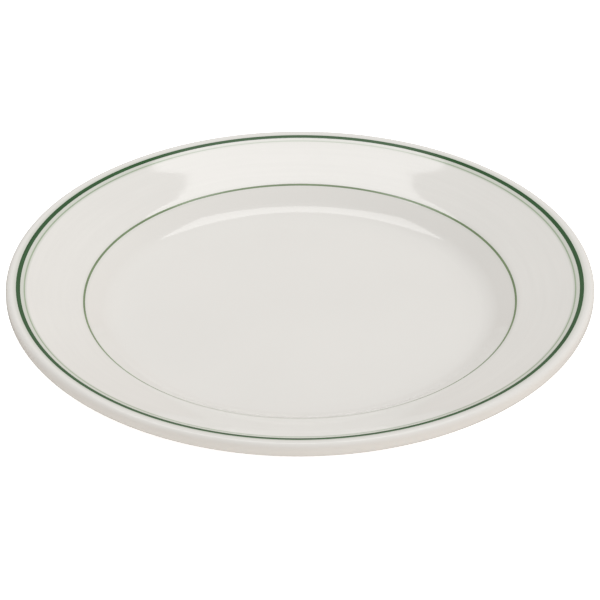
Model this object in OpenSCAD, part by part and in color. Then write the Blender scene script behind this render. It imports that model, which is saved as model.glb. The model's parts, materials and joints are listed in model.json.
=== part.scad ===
// A china dinner plate: one fired body with a foot ring, a glaze from the middle of the well over
// the edge to the foot, a second glaze inside the foot, and three coloured bands that the last
// firing sank into the glaze. Every piece is turned about Z from one traced section.

/* [Plate] */
// Diameter over the rolled edge
plate_diameter = 266.7; // [264:0.1:270]
// Height from the table to the crest of the edge
plate_height = 27.9; // [27.4:0.1:28.6]

/* [Well] */
// Height of the well floor above the table
floor_height = 8; // [7.4:0.1:8.6]
// Radius of the flat part of the well floor
floor_radius = 71.6; // [70.6:0.1:72.2]
// Radius of the slow rise round the flat part
rise_radius = 87; // [80:1:92]
// Slope at which the rise meets the cove, in degrees
rise_slope = 7; // [6:0.5:7.5]
// Radius of the cove between the rise and the wall
cove_radius = 20; // [18:0.5:21]
// Slope of the wall in degrees
wall_slope = 34; // [32:0.5:38]

/* [Rim] */
// Radius of the rounded turn from the wall to the rim
verge_radius = 20; // [10:1:26]
// Slope of the rim just outside that turn, in degrees
verge_slope = 19.2; // [18.8:0.1:19.4]
// Flattest slope of the rim, halfway out, in degrees
rim_slope = 18.4; // [18.2:0.1:18.7]
// Slope of the rim where it lifts towards the edge, in degrees
lip_slope = 20.1; // [19.4:0.1:20.6]
// Radius of the slow hollow between the verge and the flattest slope
rim_sweep = 700; // [300:50:900]
// Radius of the hollow that lifts the rim to its lip
lip_sweep = 180; // [100:10:240]
// Width of the straight lip between that hollow and the crown
lip_width = 6.8; // [4:0.1:8]

/* [Rolled edge] */
// Slope at which the crown of the edge meets its crest, in degrees
crown_slope = 6; // [4:0.5:8]
// Radius of the crown of the edge
crown_radius = 20; // [14:1:22]
// Radius of the crest of the edge
crest_radius = 2.2; // [1.8:0.1:3]
// Height of the upright face of the edge
edge_face = 1.2; // [0.4:0.1:1.6]
// Radius of the roll under the edge
roll_radius = 4; // [3.4:0.1:4.4]
// Angle that the roll turns through, in degrees
roll_turn = 125; // [118:1:132]
// Radius of the hollow behind the roll
tuck_radius = 2.5; // [1.5:0.1:4]

/* [Underside] */
// Slope of the rim's underside in degrees
rim_under_slope = 19.5; // [18.8:0.1:20]
// Slope of the wall's underside in degrees
wall_under_slope = 34; // [32:0.5:37]
// Radius of the hollow under the verge
knee_radius = 24; // [16:1:30]
// Radius of the belly under the cove
belly_radius = 30; // [26:1:34]
// Slope at which the belly meets the foot, in degrees
belly_slope = 15; // [12:0.5:18]

/* [Foot ring] */
// Radius of the middle of the foot ring
foot_radius = 79.5; // [78.5:0.1:80.5]
// Width of its dry resting face
foot_width = 3.2; // [2.4:0.1:4]
// Slope of its sides in degrees
foot_draft = 76; // [70:1:82]
// Radius of its two edges
foot_edge = 1.2; // [0.8:0.1:1.4]
// Radius of the hollow outside it
foot_hollow = 3; // [2:0.1:4]
// Height of its glazed outer side below that hollow
foot_side = 1; // [0.5:0.1:1.5]
// Height of the base inside it above the table
base_height = 2.6; // [2.4:0.1:3.2]
// Radius of the hollow inside it
base_hollow = 1.5; // [1:0.1:1.8]

/* [Glaze] */
// Thickness of the glaze
glaze_thickness = 0.4; // [0.3:0.05:0.5]

/* [Bands] */
// Depth of the bands in the glaze
band_depth = 0.2; // [0.1:0.05:0.2]
// Radius of the middle of the wide band on the edge
wide_band_radius = 127.7; // [127.2:0.1:128.2]
// Width of the wide band
wide_band_width = 1.9; // [1.4:0.1:2.4]
// Radius of the hairline inside it
hairline_radius = 124.9; // [124:0.1:125.6]
// Width of the hairline
hairline_width = 0.6; // [0.3:0.1:0.8]
// Radius of the line round the well
verge_line_radius = 98.4; // [97:0.1:100]
// Width of the line round the well
verge_line_width = 0.9; // [0.4:0.1:1.2]

/* [Hidden] */
$fn = 180;

// Largest turn between two points of an arc, in degrees
arc_step = 4;

// An outline is traced by steps. A step is [length, 0], a line, or [radius, turn], an arc that
// turns left if turn is positive. A heading is in degrees from straight outward.
function along(heading) = [cos(heading), sin(heading)];
function beside(heading) = [-sin(heading), cos(heading)];
function turned_by(steps, i = 0) = i == len(steps) ? 0 : steps[i][1] + turned_by(steps, i + 1);

// The move that one step makes, and the move that a list of steps makes
function move(heading, step) = step[1] == 0
    ? step[0] * along(heading)
    : sign(step[1]) * step[0] * (beside(heading) - beside(heading + step[1]));
function moves(heading, steps, i = 0) = i == len(steps)
    ? [0, 0]
    : move(heading, steps[i]) + moves(heading + steps[i][1], steps, i + 1);

// Steps from start to finish, with a line of the right length between first and middle, and
// another between middle and last
function joined(start, finish, heading, first, middle, last) =
    let (
        near = heading + turned_by(first),
        far = near + turned_by(middle),
        gap = finish - start - moves(heading, first) - moves(near, middle) - moves(far, last),
        spread = cross(along(near), along(far)),
        near_line = cross(gap, along(far)) / spread,
        far_line = cross(along(near), gap) / spread
    )
    concat(first, [[near_line, 0]], middle, [[far_line, 0]], last);

// The points of a traced outline after its start, each as [radius, height, heading]
function traced(at, heading, step) =
    let (parts = max(1, ceil(abs(step[1]) / arc_step)))
    [for (i = [1:parts])
        let (part = [step[0], step[1] * i / parts])
        concat(at + move(heading, part), heading + part[1])];
function route(at, heading, steps, i = 0) = i == len(steps)
    ? []
    : concat(
        traced(at, heading, steps[i]),
        route(at + move(heading, steps[i]), heading + steps[i][1], steps, i + 1));

// Where a rising outline crosses a radius, and its stretch between two radii
function crossing(points, radius) =
    let (
        next = min([for (i = [1:len(points) - 1]) if (points[i][0] >= radius) i]),
        before = points[next - 1],
        after = points[next],
        share = (radius - before[0]) / (after[0] - before[0])
    )
    (1 - share) * before + share * after;
function beyond(points, radius) =
    concat([crossing(points, radius)], [for (p = points) if (p[0] > radius) p]);
function within(points, radius) =
    concat([for (p = points) if (p[0] < radius) p], [crossing(points, radius)]);
function stretch(points, inner, outer) = within(beyond(points, inner), outer);

// The same points, sunk a depth below the surface
function sunk(points, depth) = [for (p = points)
    let (q = [p[0], p[1]] - depth * beside(p[2]))
    [max(0, q[0]), q[1]]];
function backwards(points) = [for (i = [len(points) - 1:-1:0]) points[i]];

// The glazed face, from the middle of the well to the widest point of the edge
middle_of_well = [0, floor_height];
widest_point = [plate_diameter / 2, plate_height - crest_radius];
face_steps = joined(
    middle_of_well, widest_point, 0,
    [[floor_radius, 0], [rise_radius, rise_slope], [cove_radius, wall_slope - rise_slope]],
    [[verge_radius, verge_slope - wall_slope], [rim_sweep, rim_slope - verge_slope]],
    [
        [lip_sweep, lip_slope - rim_slope],
        [lip_width, 0],
        [crown_radius, crown_slope - lip_slope],
        [crest_radius, -90 - crown_slope]
    ]);
face = concat([concat(middle_of_well, 0)], route(middle_of_well, 0, face_steps));

// The glazed back, from the widest point down to where the glaze is wiped off the foot
dry_start = [foot_radius + foot_width / 2, -glaze_thickness];
side_heading = foot_draft - 180;
wiped_point = dry_start - move(side_heading, [foot_edge, -foot_draft]);
back_steps = joined(
    widest_point, wiped_point, -90,
    [
        [edge_face, 0],
        [roll_radius, -roll_turn],
        [tuck_radius, roll_turn - 90 + rim_under_slope]
    ],
    [[knee_radius, wall_under_slope - rim_under_slope]],
    [
        [belly_radius, belly_slope - wall_under_slope],
        [foot_hollow, foot_draft - belly_slope],
        [foot_side, 0]
    ]);
back = route(widest_point, -90, back_steps);

// The dry foot, and the base inside it
foot_steps = [[foot_edge, -foot_draft], [foot_width, 0], [foot_edge, -foot_draft]];
foot = route(wiped_point, side_heading, foot_steps);
inner_point = wiped_point + moves(side_heading, foot_steps);
inner_heading = -180 - foot_draft;
middle_of_base = [0, base_height - glaze_thickness];
base_steps = joined(inner_point, middle_of_base, inner_heading, [], [[base_hollow, foot_draft]], []);
base = route(inner_point, inner_heading, base_steps);

// The inner and outer radius of each band, from the well outward
band_edges = [
    verge_line_radius - verge_line_width / 2, verge_line_radius + verge_line_width / 2,
    hairline_radius - hairline_width / 2, hairline_radius + hairline_width / 2,
    wide_band_radius - wide_band_width / 2, wide_band_radius + wide_band_width / 2
];

// The surface of the face with a groove for each band
groove_edges = concat([0], band_edges);
grooved_face = concat(
    [for (i = [1:len(groove_edges) - 1])
        each sunk(
            stretch(face, groove_edges[i - 1], groove_edges[i]),
            i % 2 == 0 ? band_depth : 0)],
    sunk(beyond(face, band_edges[5]), 0));

// A layer turned from its outer and its inner points, and a band set flush in the glaze
module layer(outer, inner) {
    rotate_extrude() polygon(concat(outer, backwards(inner)));
}
module band(inner_radius, outer_radius) {
    flush = stretch(face, inner_radius, outer_radius);
    layer(sunk(flush, 0), sunk(flush, band_depth));
}

// The fired body with its dry foot ring, everywhere a glaze thickness below the glazed surface
module china_body() {
    color("#d9d5cb")
        rotate_extrude() polygon(sunk(concat(face, back, foot, base), glaze_thickness));
}

// The glaze over the well, the rim, the edge and the back, as far as the foot
module face_glaze() {
    color("#e3e1da")
        layer(
            concat(grooved_face, sunk(back, 0)),
            sunk(concat(face, back), glaze_thickness));
}

// The glaze inside the foot ring
module base_glaze() {
    inner = concat([foot[len(foot) - 1]], base);
    color("#e3e1da") layer(sunk(inner, 0), sunk(inner, glaze_thickness));
}

// The wide green band on the crown of the edge
module wide_band() {
    color("#2b4d29") band(band_edges[4], band_edges[5]);
}

// The thin green line inside the wide band
module hairline() {
    color("#8d9e7e") band(band_edges[2], band_edges[3]);
}

// The thin green line where the rim turns down into the well
module verge_line() {
    color("#718460") band(band_edges[0], band_edges[1]);
}

china_body();
face_glaze();
base_glaze();
wide_band();
hairline();
verge_line();
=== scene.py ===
import json
import bpy
import numpy as np
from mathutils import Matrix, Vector


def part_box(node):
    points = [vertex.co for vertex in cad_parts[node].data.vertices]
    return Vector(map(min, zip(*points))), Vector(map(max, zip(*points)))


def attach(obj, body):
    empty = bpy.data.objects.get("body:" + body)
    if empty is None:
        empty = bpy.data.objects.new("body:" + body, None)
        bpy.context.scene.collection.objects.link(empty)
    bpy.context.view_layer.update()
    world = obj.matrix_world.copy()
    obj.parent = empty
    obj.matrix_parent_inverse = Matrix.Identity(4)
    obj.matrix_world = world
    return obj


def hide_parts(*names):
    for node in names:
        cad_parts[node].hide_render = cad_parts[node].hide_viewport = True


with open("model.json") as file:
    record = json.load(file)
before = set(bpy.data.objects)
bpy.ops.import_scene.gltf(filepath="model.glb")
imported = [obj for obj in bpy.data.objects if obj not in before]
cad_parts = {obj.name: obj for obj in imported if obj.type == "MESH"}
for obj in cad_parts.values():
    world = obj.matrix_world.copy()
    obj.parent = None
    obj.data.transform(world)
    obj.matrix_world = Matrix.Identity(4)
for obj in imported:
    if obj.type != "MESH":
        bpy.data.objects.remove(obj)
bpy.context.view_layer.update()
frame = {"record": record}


# --- The fired body -----------------------------------------------------------------------------
# White china clay, pressed on a turning mould with its foot ring in one piece, then fired hard.
# Glaze hides all of it but the dry ring that the plate rests on, which is matt and a little gritty.

mm = 0.001
mounts = {mount["name"]: mount["pos_m"] for mount in frame["record"]["mounts"]}
edge_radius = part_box("face_glaze")[1].x
crest_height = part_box("face_glaze")[1].z
glaze_thickness = edge_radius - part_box("china_body")[1].x
floor_height = mounts["well_floor"][2]
foot_radius = mounts["foot_ring_base"][0]
base_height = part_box("base_glaze")[1].z

floor_radius, rise_radius, rise_slope = 71.6 * mm, 87 * mm, 7
cove_radius, wall_slope = 20 * mm, 34
verge_radius, verge_slope = 20 * mm, 19.2
rim_sweep, rim_slope = 700 * mm, 18.4
lip_sweep, lip_slope, lip_width = 180 * mm, 20.1, 6.8 * mm
crown_radius, crown_slope = 20 * mm, 6
crest_radius, edge_face = 2.2 * mm, 1.2 * mm
roll_radius, roll_turn, tuck_radius = 4 * mm, 125, 2.5 * mm
rim_under_slope, wall_under_slope, knee_radius = 19.5, 34, 24 * mm
belly_radius, belly_slope = 30 * mm, 15
foot_width, foot_draft, foot_edge = 3.2 * mm, 76, 1.2 * mm
foot_hollow, foot_side, base_hollow = 3 * mm, 1 * mm, 1.5 * mm


def arc(radius, turn):
    """A step along an arc: its length, radius x angle, and its turn in degrees, left positive."""
    return radius * np.radians(abs(turn)), turn


def moves(heading, steps):
    """The move of each step of an outline, as radius and height. A step of length s and turn t moves
    s x sin(t/2) / (t/2) along the heading halfway through it, so a line is a step that turns by 0."""
    length, turn = np.array(steps, float).T
    halfway = np.radians(heading + np.cumsum(turn) - turn / 2)
    way = np.column_stack([np.cos(halfway), np.sin(halfway)])
    return length[:, None] * np.sinc(turn / 360)[:, None] * way


def joined(start, finish, heading, first, middle, last):
    """The steps from start to finish, with a line after first and a line after middle. Their two
    lengths are the ones that close what the other steps leave open: two equations, two lengths."""
    steps = first + [(0, 0)] + middle + [(0, 0)] + last
    gap = np.subtract(finish, start) - moves(heading, steps).sum(0)
    near = heading + sum(turn for _, turn in first)
    slopes = np.radians([near, near + sum(turn for _, turn in middle)])
    near_line, far_line = np.linalg.solve([np.cos(slopes), np.sin(slopes)], gap)
    return first + [(near_line, 0)] + middle + [(far_line, 0)] + last


def traced(start, heading, steps, finest_turn, longest):
    """Points along an outline, as rows of radius, height and heading: each step is cut into equal
    parts no longer than longest and turning no more than finest_turn, and their moves are summed."""
    length, turn = np.array(steps, float).T
    parts = np.ceil(np.maximum(length / longest, np.abs(turn) / finest_turn)).clip(1).astype(int)
    fine = np.repeat(np.column_stack([length / parts, turn / parts]), parts, axis=0)
    places = np.add(start, np.cumsum(moves(heading, fine), axis=0))
    rows = np.column_stack([places, heading + np.cumsum(fine[:, 1])])
    return np.vstack([[*start, heading], rows])


def sunk(points, depth):
    """The same points a depth below the surface, along the right-hand side of their heading."""
    heading = np.radians(points[:, 2])
    return points[:, :2] - depth * np.column_stack([-np.sin(heading), np.cos(heading)])


middle_of_well = (0, floor_height)
widest_point = (edge_radius, crest_height - crest_radius)
face_steps = joined(
    middle_of_well, widest_point, 0,
    [(floor_radius, 0), arc(rise_radius, rise_slope), arc(cove_radius, wall_slope - rise_slope)],
    [arc(verge_radius, verge_slope - wall_slope), arc(rim_sweep, rim_slope - verge_slope)],
    [
        arc(lip_sweep, lip_slope - rim_slope),
        (lip_width, 0),
        arc(crown_radius, crown_slope - lip_slope),
        arc(crest_radius, -90 - crown_slope),
    ],
)
foot_steps = [arc(foot_edge, -foot_draft), (foot_width, 0), arc(foot_edge, -foot_draft)]
side_heading = foot_draft - 180
dry_start = np.array([foot_radius + foot_width / 2, -glaze_thickness])
wiped_point = dry_start - moves(side_heading, foot_steps[:1])[0]
back_steps = joined(
    widest_point, wiped_point, -90,
    [(edge_face, 0), arc(roll_radius, -roll_turn), arc(tuck_radius, roll_turn - 90 + rim_under_slope)],
    [arc(knee_radius, wall_under_slope - rim_under_slope)],
    [
        arc(belly_radius, belly_slope - wall_under_slope),
        arc(foot_hollow, foot_draft - belly_slope),
        (foot_side, 0),
    ],
)
inner_point = wiped_point + moves(side_heading, foot_steps).sum(0)
inner_heading = -180 - foot_draft
middle_of_base = (0, base_height - glaze_thickness)
base_steps = joined(inner_point, middle_of_base, inner_heading, [], [arc(base_hollow, foot_draft)], [])


def face(finest_turn, longest):
    return traced(middle_of_well, 0, face_steps, finest_turn, longest)


def back(finest_turn, longest):
    return traced(widest_point, -90, back_steps, finest_turn, longest)


def base(finest_turn, longest):
    return traced(inner_point, inner_heading, base_steps, finest_turn, longest)


two_lobed_sag, two_lobed_turn = 0.12 * mm, np.radians(50)
three_lobed_sag, three_lobed_turn = 0.11 * mm, np.radians(90)
columns = 288


def kilned(radius, height, angle):
    """A place on the turned plate after firing: x and y are radius x cos and sin of the angle. The
    rim outside the foot has sagged as plates do in the kiln, by a cosine of twice the angle and one of
    three times the angle, both growing with the square of the radius."""
    share = ((radius**2 - foot_radius**2) / (edge_radius**2 - foot_radius**2)).clip(0)
    two_lobed = two_lobed_sag * np.cos(2 * angle + two_lobed_turn)
    three_lobed = three_lobed_sag * np.cos(3 * angle + three_lobed_turn)
    lift = share * (two_lobed + three_lobed)
    return np.stack([radius * np.cos(angle), radius * np.sin(angle), height + lift], axis=-1)


def turned(name, section, sharp=35):
    """A closed solid turned about Z from a section, a loop of (radius, height) points that runs with
    the solid on its right. A point on the axis becomes one pole, and every other point a ring."""
    angle = np.linspace(0, 2 * np.pi, columns, endpoint=False)
    on_axis = section[0, 0] < 1e-9
    rings = section[1:-1] if on_axis else section
    places = kilned(rings[:, :1], rings[:, 1:], angle[None, :]).reshape(-1, 3)
    row = np.arange(len(rings) - 1 if on_axis else len(rings))[:, None]
    column = np.arange(columns)[None, :]
    here, there = row * columns, (row + 1) % len(rings) * columns
    beside = (column + 1) % columns
    quads = np.stack([here + column, there + column, there + beside, here + beside], -1).reshape(-1, 4)
    faces = quads.tolist()
    if on_axis:
        poles = np.array([[0, 0, section[0, 1]], [0, 0, section[-1, 1]]])
        first, last = len(places), len(places) + 1
        end = (len(rings) - 1) * columns
        around, onward = column[0], beside[0]
        faces += np.column_stack([np.full(columns, first), around, onward]).tolist()
        faces += np.column_stack([end + around, np.full(columns, last), end + onward]).tolist()
        places = np.vstack([places, poles])
    mesh = bpy.data.meshes.new(name)
    mesh.from_pydata(places.tolist(), [], faces)
    mesh.shade_smooth()
    mesh.set_sharp_from_angle(angle=np.radians(sharp))
    piece = bpy.data.objects.new(name, mesh)
    bpy.context.scene.collection.objects.link(piece)
    return piece


def linear(colour):
    """An sRGB hex colour as linear RGBA: c / 12.92 up to 0.04045, and above that
    ((c + 0.055) / 1.055)^2.4."""
    c = np.array([int(colour[i:i + 2], 16) for i in (1, 3, 5)]) / 255
    return [*np.where(c <= 0.04045, c / 12.92, ((c + 0.055) / 1.055) ** 2.4), 1]


def finish(name):
    """A new material with only its output and its shader, and the node tree that they are in."""
    material = bpy.data.materials.new(name)
    material.use_nodes = True
    return material, material.node_tree


def add(tree, kind, inputs=None, **settings):
    """Adds a node with its settings. Each input is a value, or another node's output to link."""
    node = tree.nodes.new(kind)
    for name, value in settings.items():
        setattr(node, name, value)
    for name, value in (inputs or {}).items():
        if isinstance(value, bpy.types.NodeSocket):
            tree.links.new(value, node.inputs[name])
        else:
            node.inputs[name].default_value = value
    return node


# The most that one part of an outline turns, in degrees, and its greatest length: where the outline
# is hidden, where it is seen, and on the dry foot.
hidden_turn, hidden_length = 6, 12 * mm
seen_turn, seen_length = 1.5, 3.5 * mm
dry_turn, dry_length = 6, 1 * mm
foot = traced(wiped_point, side_heading, foot_steps, dry_turn, dry_length)
body_section = np.vstack([
    face(hidden_turn, hidden_length),
    back(hidden_turn, hidden_length)[1:],
    foot[1:],
    base(hidden_turn, hidden_length)[1:],
])
body = turned("fired_body", sunk(body_section, glaze_thickness))

# Biscuit china: warm white, matt, with fine grit that shows as a grain. The grit is about 0.1 mm on
# the real foot, and is drawn at 0.5 mm so that it shows. Rubbing on shelves leaves grey in the grain.
grit_size, grit_depth = 0.5 * mm, 0.05 * mm
china_index = 1.5
biscuit, tree = finish("biscuit china")
grit = add(tree, "ShaderNodeTexNoise", {
    "Vector": add(tree, "ShaderNodeTexCoord").outputs["Object"],
    "Scale": 1 / grit_size, "Detail": 3, "Roughness": 0.6,
})
tone = add(tree, "ShaderNodeValToRGB", {"Fac": grit.outputs["Fac"]})
tone.color_ramp.elements[0].position, tone.color_ramp.elements[0].color = 0.35, linear("#b5ada0")
tone.color_ramp.elements[1].position, tone.color_ramp.elements[1].color = 0.6, linear("#ded8cc")
grain = add(tree, "ShaderNodeBump", {
    "Height": grit.outputs["Fac"], "Distance": grit_depth, "Strength": 0.6,
})
shader = tree.nodes["Principled BSDF"]
shader.inputs["Roughness"].default_value = 0.8
shader.inputs["IOR"].default_value = china_index
tree.links.new(tone.outputs["Color"], shader.inputs["Base Color"])
tree.links.new(grain.outputs["Normal"], shader.inputs["Normal"])
body.data.materials.append(biscuit)

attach(body, "root")
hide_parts("china_body")


# --- The glaze ----------------------------------------------------------------------------------
# A hard clear glaze over the white clay, in two coats that the dry foot parts: one over the face, the
# edge and the back, and one inside the foot. Dipped, drained and melted smooth in the kiln.

band_depth = 0.2 * mm
wide_band = (126.75 * mm, 128.65 * mm)
hairline = (124.6 * mm, 125.2 * mm)
verge_line = (97.95 * mm, 98.85 * mm)


def cut(points, inner, outer):
    """The stretch of a rising outline between two radii, ending exactly on them. Height and heading
    at the two ends lie on the straight line between the outline's points on either side."""
    inside = points[(points[:, 0] > inner) & (points[:, 0] < outer)]
    ends = np.column_stack([np.interp([inner, outer], points[:, 0], part) for part in points.T])
    return np.vstack([ends[:1], inside, ends[1:]])


seen_face = face(seen_turn, seen_length)
seen_back = back(seen_turn * 2, seen_length * 2)
grooved, start = [], 0
for inner, outer in (verge_line, hairline, wide_band):
    grooved.append(sunk(cut(seen_face, start, inner), 0))
    grooved.append(sunk(cut(seen_face, inner, outer), band_depth))
    start = outer
grooved.append(sunk(cut(seen_face, start, edge_radius), 0)[:-1])
under_glaze = np.vstack([face(hidden_turn, hidden_length), back(hidden_turn, hidden_length)[1:]])
face_coat = turned("face_coat", np.vstack([
    *grooved, sunk(seen_back, 0), sunk(under_glaze, glaze_thickness)[::-1],
]))
base_turn, base_length = 6, 4 * mm
seen_base = base(base_turn, base_length)
base_coat = turned("base_coat", np.vstack([
    sunk(seen_base, 0), sunk(base(hidden_turn, hidden_length), glaze_thickness)[::-1],
]))


def product(tree, first, second):
    """One value times another."""
    return add(tree, "ShaderNodeMath", {0: first, 1: second}, operation="MULTIPLY").outputs["Value"]


def around(tree):
    """The place on the object, its distance from the axis, its direction from the axis, and a painted
    reflection of the softbox, from 0 over most of the ring to 1 round the +Y side, where it pales the
    bands."""
    place = add(tree, "ShaderNodeTexCoord").outputs["Object"]
    flat = add(tree, "ShaderNodeVectorMath", {0: place, 1: (1, 1, 0)}, operation="MULTIPLY")
    distance = add(tree, "ShaderNodeVectorMath", {0: flat.outputs["Vector"]}, operation="LENGTH")
    direction = add(tree, "ShaderNodeVectorMath", {0: flat.outputs["Vector"]}, operation="NORMALIZE")
    side = add(tree, "ShaderNodeSeparateXYZ", {"Vector": direction.outputs["Vector"]})
    # Painted reflection: 0 over most of the ring, 1 round the +Y side under the softbox.
    painted_reflection = add(tree, "ShaderNodeMapRange", {
        "Value": side.outputs["Y"], "From Min": 0.8, "From Max": 0.93,
    }, interpolation_type="SMOOTHSTEP")
    return place, distance.outputs["Value"], direction.outputs["Vector"], painted_reflection.outputs["Result"]


def blend(tree, share, colour, other):
    """A colour with a share of another one in it, where share runs from 0 to 1."""
    return add(tree, "ShaderNodeMix", {0: share, 6: colour, 7: other}, data_type="RGBA").outputs[2]


def streaks(tree, distance, direction, spacing, changes):
    """Noise from 0 to 1 in streaks round the axis: spacing apart, and changing along the ring as often
    as the direction from the axis, times changes, passes from one cell of the noise to the next."""
    lift = add(tree, "ShaderNodeCombineXYZ", {"Z": product(tree, distance, 1 / spacing)})
    along = add(tree, "ShaderNodeVectorMath", {0: direction, "Scale": changes}, operation="SCALE")
    vector = add(tree, "ShaderNodeVectorMath", {0: along.outputs["Vector"], 1: lift.outputs["Vector"]})
    return add(tree, "ShaderNodeTexNoise", {
        "Vector": vector.outputs["Vector"], "Scale": 1, "Detail": 3, "Roughness": 0.55,
    }).outputs["Fac"]


# Glazed china: an ivory white in faint clouds, with faint grey streaks round the rim, under glass that
# mirrors the room sharply in the slow ripple of melted glaze. The green of each band has bled a
# millimetre or two into the glaze beside it, on the upper side only, and less round the +Y side, where
# a painted reflection of the softbox pales it.
cloud_size, ripple_size, ripple_depth = 60 * mm, 14 * mm, 0.03 * mm
rim_streak_spacing, rim_streak_changes, rim_streak_strength = 1.8 * mm, 2.5, 0.03
rim_streak_grey, bled_green = linear("#8e8c86"), linear("#8e9d82")
bleed_lost_to_painted_reflection = 0.6
glazed, tree = finish("glazed china")
place, distance, direction, painted_reflection = around(tree)
cloud = add(tree, "ShaderNodeTexNoise", {"Vector": place, "Scale": 1 / cloud_size, "Detail": 2})
tone = add(tree, "ShaderNodeValToRGB", {"Fac": cloud.outputs["Fac"]})
tone.color_ramp.elements[0].position, tone.color_ramp.elements[0].color = 0.3, linear("#dddad5")
tone.color_ramp.elements[1].position, tone.color_ramp.elements[1].color = 0.7, linear("#dfdcd7")
upward = add(tree, "ShaderNodeSeparateXYZ", {
    "Vector": add(tree, "ShaderNodeTexCoord").outputs["Normal"],
})
on_face = add(tree, "ShaderNodeMath", {0: upward.outputs["Z"], 1: 0}, operation="GREATER_THAN")
# Painted reflection: the bled green is weaker round the +Y side, under the softbox.
lost = product(tree, painted_reflection, bleed_lost_to_painted_reflection)
bleed_kept = add(tree, "ShaderNodeMath", {0: 1, 1: lost}, operation="SUBTRACT")
bleeding = product(tree, on_face.outputs["Value"], bleed_kept.outputs["Value"])
# Faint grey streaks round the rim, from 96 mm outward, at most 3 percent of the way to grey.
rim_streaking = add(tree, "ShaderNodeMapRange", {
    "Value": streaks(tree, distance, direction, rim_streak_spacing, rim_streak_changes),
    "From Min": 0.35, "From Max": 0.65, "To Min": 0, "To Max": rim_streak_strength,
})
on_rim = add(tree, "ShaderNodeMapRange", {
    "Value": distance, "From Min": 96 * mm, "From Max": 102 * mm,
})
marked = product(tree, rim_streaking.outputs["Result"], on_rim.outputs["Result"])
colour = blend(tree, marked, tone.outputs["Color"], rim_streak_grey)
for (inner, outer), width, most in (
    (verge_line, 1.6 * mm, 0.12), (hairline, 1.2 * mm, 0.3), (wide_band, 2 * mm, 0.34),
):
    middle, half_width = (inner + outer) / 2, (outer - inner) / 2
    off = add(tree, "ShaderNodeMath", {0: distance, 1: middle}, operation="SUBTRACT")
    away = add(tree, "ShaderNodeMath", {0: off.outputs["Value"]}, operation="ABSOLUTE")
    fade = add(tree, "ShaderNodeMapRange", {
        "Value": away.outputs["Value"], "From Min": half_width, "From Max": half_width + width,
        "To Min": most, "To Max": 0,
    }, interpolation_type="SMOOTHSTEP")
    share = product(tree, fade.outputs["Result"], bleeding)
    colour = blend(tree, share, colour, bled_green)
ripple = add(tree, "ShaderNodeTexNoise", {"Vector": place, "Scale": 1 / ripple_size, "Detail": 1})
wave = add(tree, "ShaderNodeBump", {
    "Height": ripple.outputs["Fac"], "Distance": ripple_depth, "Strength": 1,
})
shader = tree.nodes["Principled BSDF"]
shader.inputs["Roughness"].default_value = 0.06
shader.inputs["IOR"].default_value = china_index
tree.links.new(colour, shader.inputs["Base Color"])
tree.links.new(wave.outputs["Normal"], shader.inputs["Normal"])

for coat, node in ((face_coat, "face_glaze"), (base_coat, "base_glaze")):
    coat.data.materials.append(glazed)
    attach(coat, "root")
    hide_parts(node)


# --- The bands ----------------------------------------------------------------------------------
# Rings of green ceramic colour, laid with a brush on the turning plate and fired until they sink
# flush into the glaze: a full wide band on the crown of the edge, and two lines in a thinner wash.

brush_spacing, brush_changes = 0.8 * mm, 6
glaze_white = linear("#dcdad4")


def ring(name, edges):
    """A band flush in the glaze: the face between two radii, and the same points sunk by its depth."""
    flush = cut(seen_face, *edges)
    return turned(name, np.vstack([sunk(flush, 0), sunk(flush, band_depth)[::-1]]))


def enamel(name, thin, full, wash, shine):
    """Ceramic colour sunk in the glaze: a smooth green, streaked along the ring between thin and full
    as a brush leaves it. The share of glaze that shows through rises to wash round the +Y side, as a
    painted reflection of the softbox.
    Shine is the strength of its mirror image, where 0.5 is that of plain glass."""
    material, tree = finish(name)
    _, distance, direction, painted_reflection = around(tree)
    brushed = streaks(tree, distance, direction, brush_spacing, brush_changes)
    tone = add(tree, "ShaderNodeValToRGB", {"Fac": brushed})
    tone.color_ramp.elements[0].position, tone.color_ramp.elements[0].color = 0.25, linear(full)
    tone.color_ramp.elements[1].position, tone.color_ramp.elements[1].color = 0.75, linear(thin)
    # Painted reflection: round the +Y side the band is mixed towards glaze white, up to wash.
    colour = blend(tree, product(tree, painted_reflection, wash), tone.outputs["Color"], glaze_white)
    shader = tree.nodes["Principled BSDF"]
    shader.inputs["Roughness"].default_value = 0.08
    shader.inputs["IOR"].default_value = china_index
    shader.inputs["Specular IOR Level"].default_value = shine
    tree.links.new(colour, shader.inputs["Base Color"])
    return material


for name, edges, node, slot, thin, full, wash, shine in (
    ("wide_green_band", wide_band, "wide_band", "dark_green_enamel", "#315831", "#204720", 0.06, 0.2),
    ("green_hairline", hairline, "hairline", "light_green_enamel", "#a4b198", "#8f9f84", 0.5, 0.5),
    ("green_verge_line", verge_line, "verge_line", "mid_green_enamel", "#778b64", "#617551", 0.06, 0.5),
):
    band = ring(name, edges)
    band.data.materials.append(enamel(slot.replace("_", " "), thin, full, wash, shine))
    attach(band, "root")
    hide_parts(node)


# --- The table, the light and the camera ----------------------------------------------------------
# A white table in two planes, one that the camera sees and one under it that throws light up. Round
# it is a white tent, brighter overhead and on the right, warm low down and cool above. One wide softbox
# hangs above and behind the plate, and a long lens looks down on it over the near edge.

floor_half_width = 3


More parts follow.
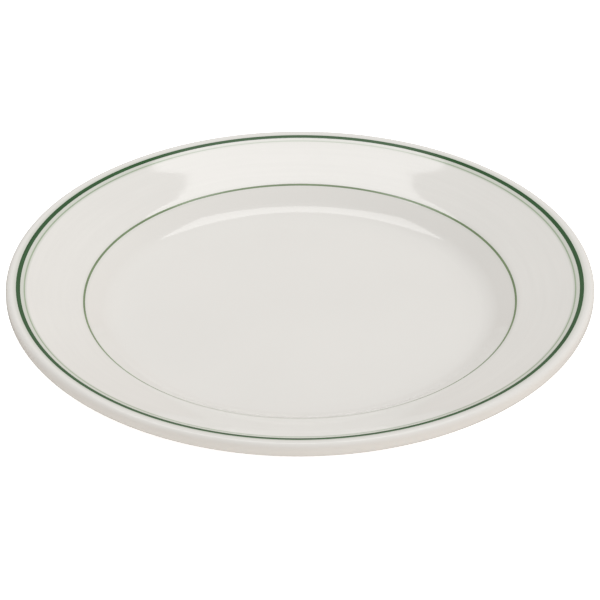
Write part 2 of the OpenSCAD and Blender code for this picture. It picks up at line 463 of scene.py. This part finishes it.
def floor(name, height, colour, glow):
    """A level matt square, in a colour that also glows a little. No mirror image shows it."""
    half = floor_half_width
    corners = [(x, y, height) for x, y in ((-half, -half), (half, -half), (half, half), (-half, half))]
    mesh = bpy.data.meshes.new(name)
    mesh.from_pydata(corners, [], [(0, 1, 2, 3)])
    white, tree = finish(name.replace("_", " "))
    shader = tree.nodes["Principled BSDF"]
    shader.inputs["Base Color"].default_value = linear(colour)
    shader.inputs["Roughness"].default_value = 0.9
    shader.inputs["Emission Color"].default_value = (1, 1, 1, 1)
    shader.inputs["Emission Strength"].default_value = glow
    mesh.materials.append(white)
    level = bpy.data.objects.new(name, mesh)
    bpy.context.scene.collection.objects.link(level)
    level.visible_glossy = False
    return level


top_depth, bounce_depth = 0.05 * mm, 0.5 * mm
table_top = floor("table_top", -top_depth, "#f8f8f8", 0.62)
table_top.visible_diffuse = False
table_top.visible_shadow = False
table_bounce = floor("table_bounce", -bounce_depth, "#f2eee9", 0.25)
table_bounce.visible_camera = False

# The tent's strength is tent_level plus the dot product of tent_rise and the direction, and at least
# tent_dimmest. Its tint goes from low_tint at the horizon and below to high_tint straight up.
tent_rise, tent_level, tent_dimmest = (0.256, -0.05, 0.404), 0.597, 0.28
low_tint, high_tint = (1.08, 0.985, 0.92, 1), (0.96, 1.005, 1.035, 1)
tent = bpy.data.worlds.new("studio tent")
tent.use_nodes = True
bpy.context.scene.world = tent
tree = tent.node_tree
towards = add(tree, "ShaderNodeTexCoord").outputs["Generated"]
rise = add(tree, "ShaderNodeVectorMath", {0: towards, 1: tent_rise}, operation="DOT_PRODUCT")
level = add(tree, "ShaderNodeMath", {0: rise.outputs["Value"], 1: tent_level}, operation="ADD")
strength = add(tree, "ShaderNodeMath", {
    0: level.outputs["Value"], 1: tent_dimmest,
}, operation="MAXIMUM")
tree.links.new(strength.outputs["Value"], tree.nodes["Background"].inputs["Strength"])
height = add(tree, "ShaderNodeSeparateXYZ", {"Vector": towards})
tint = blend(tree, height.outputs["Z"], low_tint, high_tint)
tree.links.new(tint, tree.nodes["Background"].inputs["Color"])


def aim(thing, place, target):
    """Puts a light or a camera at a place, with its -Z axis towards a target and its Y axis upward."""
    thing.location = place
    way = Vector(target) - Vector(place)
    thing.rotation_euler = way.to_track_quat("-Z", "Y").to_euler()
    bpy.context.scene.collection.objects.link(thing)


softbox = bpy.data.lights.new("softbox", "AREA")
softbox.shape = "RECTANGLE"
softbox.size, softbox.size_y = 1.39, 0.57
softbox.energy = 5.87
softbox_side, softbox_distance, softbox_height = -0.03, 1.6, np.radians(69.2)
behind, above = softbox_distance * np.cos(softbox_height), softbox_distance * np.sin(softbox_height)
aim(bpy.data.objects.new("softbox", softbox), (softbox_side, behind, above), (softbox_side, 0, 0))

camera = bpy.data.cameras.new("camera")
camera.sensor_width, camera.lens = 36, 160.9
camera_distance, camera_height = 1.219, np.radians(32.25)
dip, roll = np.radians(0.55), np.radians(0.13)
# The camera's distance and height are measured from the centre of the ring that the wide band makes.
band_drop = 0.6 * mm
band_height = crest_height - band_drop
eye = np.array([
    0, -camera_distance * np.cos(camera_height), band_height + camera_distance * np.sin(camera_height)
])
gaze = np.array([0, np.cos(camera_height + dip), -np.sin(camera_height + dip)])
bpy.context.scene.camera = bpy.data.objects.new("camera", camera)
aim(bpy.context.scene.camera, eye, eye + gaze)
bpy.context.scene.camera.rotation_euler.rotate_axis("Z", -roll)
bpy.context.scene.view_settings.view_transform = "Standard"
